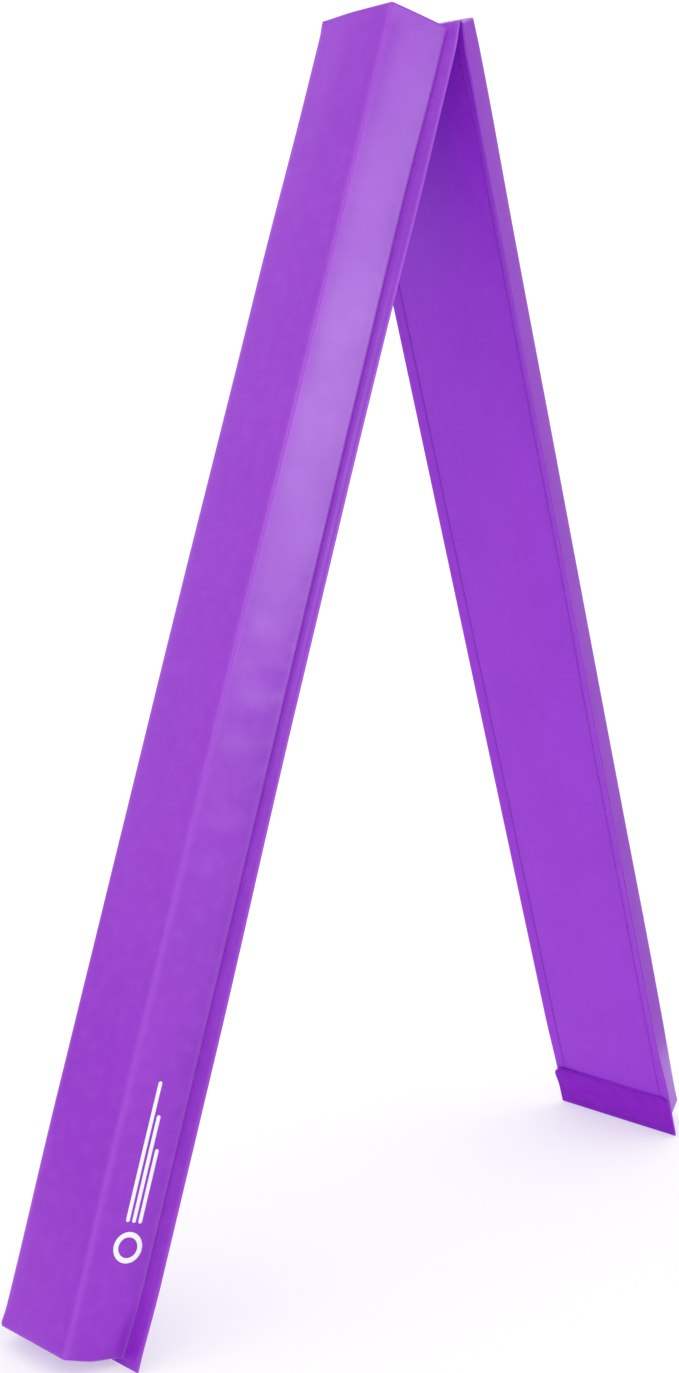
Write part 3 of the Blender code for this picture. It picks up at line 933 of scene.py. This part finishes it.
def build_half(half, materials):
    body, side = f"half_{half}", SIDE[half]
    cover = Cover(half)
    skin = cover.make(half)
    dress(skin, body, materials["cover"], "cover_vinyl", f"top_cover_{half}")

    for name, at, way in (("fold_end", FOLD_SETBACK, -1), ("foot_end", HALF_LENGTH, 1)):
        panel = end_panel(f"{name}_panel_cover_{half}", half, at, way)
        dress(panel, body, materials["panel"], "cover_vinyl", f"{name}_panel_{half}")

    foam = foam_block(half, cover)
    dress(foam, body, materials["foam"], "foam", f"foam_core_{half}")

    top_start, top_stop = FOLD_SETBACK + 0.008, HALF_LENGTH - 0.006
    tape = FLAP_INSET + FLAP_LENGTH if half == "b" else LOOP_INSET + LOOP_LENGTH
    for row, sign in ROW.items():
        u = needle_holes(top_start, top_stop)
        p, n = cover.at(u, np.full(len(u), sign * cover.seam))
        q = stand(side, p)
        top = stitches(f"needle_stitches_{row}_{half}", q, unit(stand(side, p + n) - q))
        dress(top, body, materials["thread"], "thread", f"needle_thread_{row}_{half}")
        u = needle_holes(top_start, HALF_LENGTH - tape - 0.003)
        p = np.stack([u, *curled(half, u, np.full(len(u), sign * STITCH_ROW), np.full(len(u), 0.00012))], -1)
        under = stitches(f"bobbin_stitches_{row}_{half}", stand(side, p), downwards(side, p))
        dress(under, body, materials["thread"], "thread", f"bobbin_thread_{row}_{half}")
    return cover


def build_base(materials):
    base = base_sheet()
    base.data.materials.append(materials["base"])
    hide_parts("base_sheet_a", "base_sheet_b", "fold_web")
    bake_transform(base)


def make_materials():
    purple, purple_dark, purple_light = (0.284, 0.0175, 0.580), (0.268, 0.0150, 0.555), (0.360, 0.060, 0.660)
    # Painted light: the base sheet's vinyl is a brighter copy of the cover's, standing in for light that its
    # inside faces under the tent lack.
    base, base_dark, base_light = (0.305, 0.0145, 0.635), (0.288, 0.0125, 0.605), (0.360, 0.045, 0.690)
    # Painted light: the flap's vinyl is brighter again, standing in for light in the shade where it lies
    # near the floor.
    flap, flap_dark, flap_light = (0.340, 0.0155, 0.690), (0.320, 0.0135, 0.660), (0.380, 0.035, 0.740)
    return {
        "cover": vinyl("cover_vinyl_look", purple, purple_dark, purple_light, 0.31, seam=seam_distance()),
        "base": vinyl("base_vinyl_look", base, base_dark, base_light, 0.44, seam=STITCH_ROW, offset=7.0),
        "panel": vinyl("panel_vinyl_look", purple, purple_dark, purple_light, 0.33, offset=2.0),
        "flap": vinyl("flap_vinyl_look", flap, flap_dark, flap_light, 0.48, offset=5.0),
        "foam": foam_material("foam_look", (0.80, 0.80, 0.77), (0.62, 0.62, 0.60)),
        "thread": sewing_thread("thread_look", (0.235, 0.016, 0.510), (0.310, 0.050, 0.600)),
        "hook": hook_fabric("hook_tape_look", (0.285, 0.0115, 0.590), (0.245, 0.009, 0.530),
                            (0.340, 0.028, 0.650)),
        "loop": loop_fabric("loop_tape_look", (0.200, 0.015, 0.430), (0.130, 0.006, 0.330),
                            (0.260, 0.030, 0.500)),
        "ink": ink("print_look", (0.90, 0.90, 0.92), (0.80, 0.76, 0.86)),
    }


def add_gloss(name, place, aim, size, brightness):
    """A softbox that only shows as a highlight on glossy surfaces: the even light comes from the sky."""
    lamp = bpy.data.lights.new(name, "AREA")
    lamp.shape = "RECTANGLE"
    lamp.size, lamp.size_y = size
    lamp.energy = brightness * math.pi * size[0] * size[1]
    light = bpy.data.objects.new(name, lamp)
    light.location = place
    light.rotation_euler = (Vector(aim) - Vector(place)).to_track_quat("-Z", "Y").to_euler()
    light.visible_diffuse = False
    bpy.context.scene.collection.objects.link(light)


def make_flag(flag, name, brightness):
    """A grey card that is seen only in reflections, so that grazing surfaces keep their colour."""
    flag.name = name
    g = Graph(name + "_look")
    flag.data.materials.append(g.finish(Base_Color=(0.0, 0.0, 0.0), Specular_IOR_Level=0.0,
                                        Emission_Color=(1.0, 1.0, 1.0), Emission_Strength=brightness))
    for ray in ("camera", "diffuse", "transmission", "shadow", "volume_scatter"):
        setattr(flag, f"visible_{ray}", False)


def add_flags():
    """A ring all round in place of the horizon, and a card beside half B."""
    bpy.ops.mesh.primitive_cylinder_add(vertices=96, radius=4.2, depth=0.9, end_fill_type="NOTHING",
                                        location=(0, 0, 0.45))
    make_flag(bpy.context.object, "horizon_flag", 0.35)
    bpy.ops.mesh.primitive_plane_add(size=1.7, location=(0.8, -0.15, 0.86), rotation=(0, math.pi / 2, 0))
    make_flag(bpy.context.object, "side_flag", 0.42)


def add_sky():
    world = bpy.data.worlds.new("studio")
    bpy.context.scene.world = world
    world.use_nodes = True
    sky = world.node_tree.nodes["Background"]
    sky.inputs["Color"].default_value = (1.0, 1.0, 1.0, 1.0)
    sky.inputs["Strength"].default_value = 1.08


def add_softboxes():
    add_gloss("side_softbox", (0.37, -2.735, 1.33), (0.0, -0.045, 0.85), (1.10, 1.05), 6.3)
    add_gloss("high_side_softbox", (0.57, -2.66, 2.18), (0.07, -0.02, 1.10), (0.96, 0.60), 3.5)
    add_gloss("low_side_softbox", (-0.15, -2.60, 0.38), (-0.30, -0.06, 0.35), (1.40, 0.70), 0.8)
    add_gloss("front_softbox", (-2.95, -0.60, 2.50), (-0.20, -0.05, 0.90), (1.80, 0.95), 3.8)


def add_floor():
    bpy.ops.mesh.primitive_plane_add(size=30, location=(0, 0, -0.0006))
    floor = bpy.context.object
    floor.name = "floor"
    g = Graph("floor_look")
    where = g.node("TexCoord").outputs["Object"]
    shade = g.mix(g.noise(where, 0.8, 2.0), (0.60, 0.60, 0.60), (0.59, 0.59, 0.59))
    floor.data.materials.append(g.finish(Base_Color=shade, Roughness=0.9, Specular_IOR_Level=0.1,
                                         Emission_Color=(1.0, 1.0, 1.0), Emission_Strength=0.42))


def add_camera():
    """The camera, fitted to the beam's long straight edges."""
    camera = bpy.data.cameras.new("camera")
    camera.lens, camera.sensor_width = 51.32, 36.0
    camera.clip_start, camera.clip_end = 0.05, 60
    view = bpy.data.objects.new("camera", camera)
    heading, tilt, roll = math.radians(-45.424), math.radians(90 - 8.101), math.radians(0.308)
    turn = Matrix.Rotation(heading, 4, "Z") @ Matrix.Rotation(tilt, 4, "X") @ Matrix.Rotation(roll, 4, "Z")
    view.matrix_world = Matrix.Translation((-1.55505, -1.45193, 0.91114)) @ turn
    bpy.context.scene.collection.objects.link(view)
    bpy.context.scene.camera = view
    bpy.context.scene.view_settings.view_transform = "Standard"


materials = make_materials()
covers = {half: build_half(half, materials) for half in SIDE}
build_base(materials)
build_flap(materials)
build_loop_tape(materials)
print_mark(covers["a"], materials)
add_sky()
add_softboxes()
add_flags()
add_floor()
add_camera()
